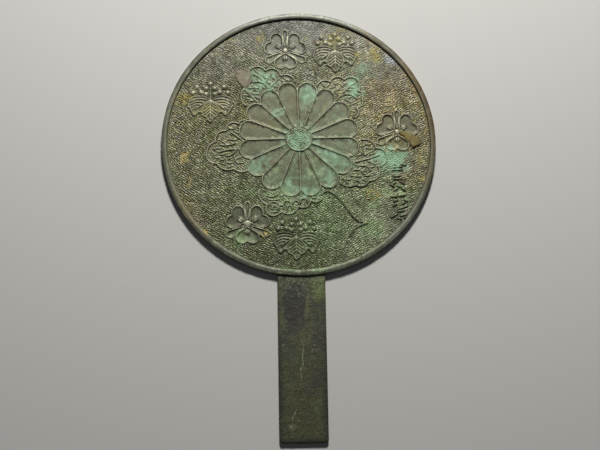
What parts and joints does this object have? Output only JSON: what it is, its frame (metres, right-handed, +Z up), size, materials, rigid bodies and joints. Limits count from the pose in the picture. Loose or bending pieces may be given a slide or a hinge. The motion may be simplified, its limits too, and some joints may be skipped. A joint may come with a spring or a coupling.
{
  "type": "bronze hand mirror",
  "caption": "Round bronze hand mirror with a flat straight handle, lying polished face down, its cast back showing a chrysanthemum, leaves and crests.",
  "frame": {"origin": "centre of the disc on its polished face, which lies down", "axes": "+Z up out of the decorated back, -Y along the handle to its end, +X to the right with the handle towards the viewer"},
  "size_m": [0.1514, 0.2396, 0.0036],
  "materials": {
    "aged_bronze": "olive brown patina with pale green verdigris, worn grey along the rim, dull polish below"
  },
  "bodies": {
    "root": {"bronze_mirror": "aged_bronze"}
  },
  "joints": []
}
